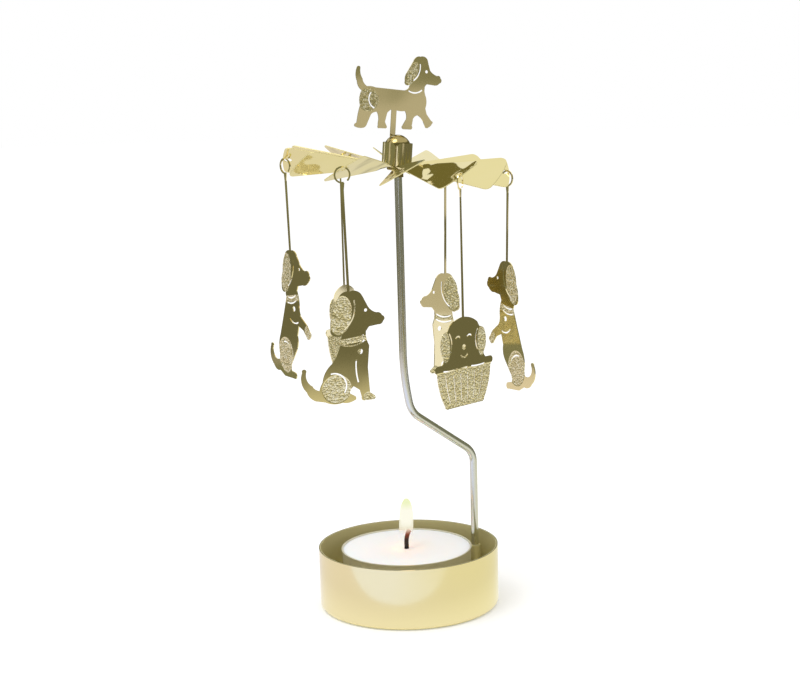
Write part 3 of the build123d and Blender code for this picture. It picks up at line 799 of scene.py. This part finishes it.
fade = add_node(
    graded,
    "ShaderNodeMapRange",
    {
        "Value": away.outputs["Value"],
        "From Min": light_reach,
        "From Max": dark_reach,
        "To Min": 0.0,
        "To Max": 1.0,
    },
    interpolation_type="SMOOTHSTEP",
)
graded_tone = add_node(
    graded,
    "ShaderNodeMix",
    {"Factor": fade.outputs[0], "A": tinted.outputs["Result"], "B": linear("#6B6A56")},
    data_type="RGBA",
)
shine = add_node(
    graded, "ShaderNodeEmission", {"Color": graded_tone.outputs["Result"], "Strength": graded_strength}
)
graded.node_tree.links.new(shine.outputs[0], graded_output.inputs["Surface"])
bpy.ops.object.select_all(action="DESELECT")
bpy.ops.mesh.primitive_circle_add(
    vertices=96, radius=card_hole, fill_type="NOTHING", location=(0.0, 0.0, 0.0004)
)
graded_card = bpy.context.object
graded_card.name = "graded_card"
bpy.ops.object.mode_set(mode="EDIT")
bpy.ops.mesh.select_all(action="SELECT")
bpy.ops.mesh.extrude_edges_move()
bpy.ops.transform.resize(value=(card_spread, card_spread, 1.0))
bpy.ops.object.mode_set(mode="OBJECT")
bpy.ops.object.transform_apply(location=True, rotation=True, scale=True)
hide_but_in_metal(graded_card, graded)


def even_tone(name, tone, strength=1.0):
    """A card or cloth of one tone, given as the light that it sends back."""
    material, output = new_material(name)
    shine = add_node(material, "ShaderNodeEmission", {"Color": linear(tone), "Strength": strength})
    material.node_tree.links.new(shine.outputs[0], output.inputs["Surface"])
    return material


# Dark drapes: a tall ring of olive wool felt, which gives the brass its deep tones. It is lower behind the
# object than behind the camera.
ring_radius = 1.6
ring_height = 2.6
cut_height = 1.35
cut_slope = 0.42
felt = even_tone("dark_wool_felt", "#818269")
bpy.ops.object.select_all(action="DESELECT")
bpy.ops.mesh.primitive_cylinder_add(
    vertices=64,
    radius=ring_radius,
    depth=ring_height,
    end_fill_type="NOTHING",
    location=(0.0, 0.0, ring_height / 2),
)
drapes = bpy.context.object
drapes.name = "felt_drapes"
bpy.ops.object.mode_set(mode="EDIT")
bpy.ops.mesh.select_all(action="SELECT")
bpy.ops.mesh.bisect(
    plane_co=(0.0, 0.0, cut_height),
    plane_no=(0.0, cut_slope, 1.0),
    use_fill=False,
    clear_outer=True,
    clear_inner=False,
)
bpy.ops.object.mode_set(mode="OBJECT")
hide_but_in_metal(drapes, felt)

# White and grey cards, and one of felt: the lying ones show in the figures and in the dish's wall, and the
# narrow standing ones as stripes in the hub. The near one is cool at the left, for the wall's bluish gleam.
white_card = even_tone("matt_white_card", "#EDEFFF", strength=1.18)
grey_card = even_tone("matt_grey_card", "#C4C0BA")
cool_card, cool_output = new_material("cool_white_card")
place = add_node(cool_card, "ShaderNodeTexCoord").outputs["Object"]
split = add_node(cool_card, "ShaderNodeSeparateXYZ", {"Vector": place})
warming = add_node(
    cool_card,
    "ShaderNodeMapRange",
    {"Value": split.outputs["X"], "From Min": -0.02, "From Max": 0.05, "To Min": 0.0, "To Max": 1.0},
)
cool_tone = add_node(
    cool_card,
    "ShaderNodeMix",
    {"Factor": warming.outputs[0], "A": linear("#DEE4FF"), "B": linear("#DBDDDB")},
    data_type="RGBA",
)
shine = add_node(cool_card, "ShaderNodeEmission", {"Color": cool_tone.outputs["Result"], "Strength": 1.34})
cool_card.node_tree.links.new(shine.outputs[0], cool_output.inputs["Surface"])
# Each card's length, its width or height, its azimuth and distance, its tilt and its finish. A standing
# card is tilted up by 90 degrees, and turned by as much to face the object.
card_lift = 0.001
lying = 0.0
standing = 90.0
cards = {
    "lying_card_near": (0.12, 0.30, -103.0, 0.1055, lying, cool_card),
    "lying_card_right": (0.24, 0.10, -12.0, 0.42, lying, white_card),
    "lying_card_far": (0.39, 0.10, -12.0, 0.735, lying, grey_card),
    "lying_card_back": (0.40, 0.10, 34.0, 0.50, lying, white_card),
    "lying_felt_left": (0.10, 0.10, 153.2, 0.385, lying, felt),
    "lying_card_front": (0.40, 0.34, -44.0, 1.40, lying, grey_card),
    "standing_card_front": (0.34, 0.05, -44.0, 1.58, standing, grey_card),
    "standing_card_camera": (0.36, 0.8, -94.0, 1.55, standing, white_card),
    "standing_card_left": (0.26, 0.8, -152.0, 1.55, standing, grey_card),
    "standing_card_side": (0.20, 0.8, 150.0, 1.55, standing, white_card),
}
for name, (length, width, azimuth, distance, tilt, finish) in cards.items():
    height = card_lift + (width / 2 if tilt else 0.0)
    bpy.ops.object.select_all(action="DESELECT")
    bpy.ops.mesh.primitive_plane_add(
        size=1.0,
        location=(distance * cos(radians(azimuth)), distance * sin(radians(azimuth)), height),
        rotation=(radians(tilt), 0.0, radians(azimuth + tilt)),
    )
    card = bpy.context.object
    card.name = name
    card.scale = (length, width, 1.0)
    bpy.ops.object.transform_apply(location=True, rotation=True, scale=True)
    hide_but_in_metal(card, finish)

# Room: white, and a little dimmer as light on matt surfaces than as the background.
room_light = 0.92
room = bpy.data.worlds.new("studio_room")
bpy.context.scene.world = room
room.use_nodes = True
room.node_tree.nodes.clear()
level = add_node(
    room,
    "ShaderNodeMapRange",
    {"Value": seen_ray(room), "From Min": 0.0, "From Max": 1.0, "To Min": room_light, "To Max": 1.0},
)
sky = add_node(room, "ShaderNodeBackground", {"Color": linear("#FFFFFF"), "Strength": level.outputs[0]})
add_node(room, "ShaderNodeOutputWorld", {"Surface": sky.outputs[0]})

# Lamps: one round soft box overhead at the left, and the flame's own small warm light.
bpy.ops.object.light_add(type="AREA", location=(-0.25, -0.25, 0.9))
softbox = bpy.context.object
softbox.name = "overhead_softbox"
softbox.data.shape = "DISK"
softbox.data.size = 0.45
softbox.data.energy = 2.2
softbox.rotation_euler = (Vector((0.0, 0.0, 0.05)) - softbox.location).to_track_quat("-Z", "Y").to_euler()
bpy.ops.object.light_add(type="POINT", location=tealight_middle + Vector((0.0, 0.0, 0.0235)))
flame_light = bpy.context.object
flame_light.name = "flame_light"
flame_light.data.color = linear("#FFB060")[:3]
flame_light.data.energy = 0.0018
flame_light.data.shadow_soft_size = 0.0015

# Camera: a long lens a little above the wheel, looking down at the dish.
camera_place = (-0.00083, -0.45021, 0.15077)
camera_dip = 9.58
camera_roll = -1.6
camera_data = bpy.data.cameras.new("camera")
camera = bpy.data.objects.new("camera", camera_data)
bpy.context.scene.collection.objects.link(camera)
camera_data.lens = 72.0
camera_data.sensor_width = 36.0
camera.matrix_world = (
    Matrix.Translation(camera_place)
    @ Matrix.Rotation(radians(90 - camera_dip), 4, "X")
    @ Matrix.Rotation(radians(camera_roll), 4, "Z")
)
bpy.context.scene.camera = camera
bpy.context.scene.view_settings.view_transform = "Standard"
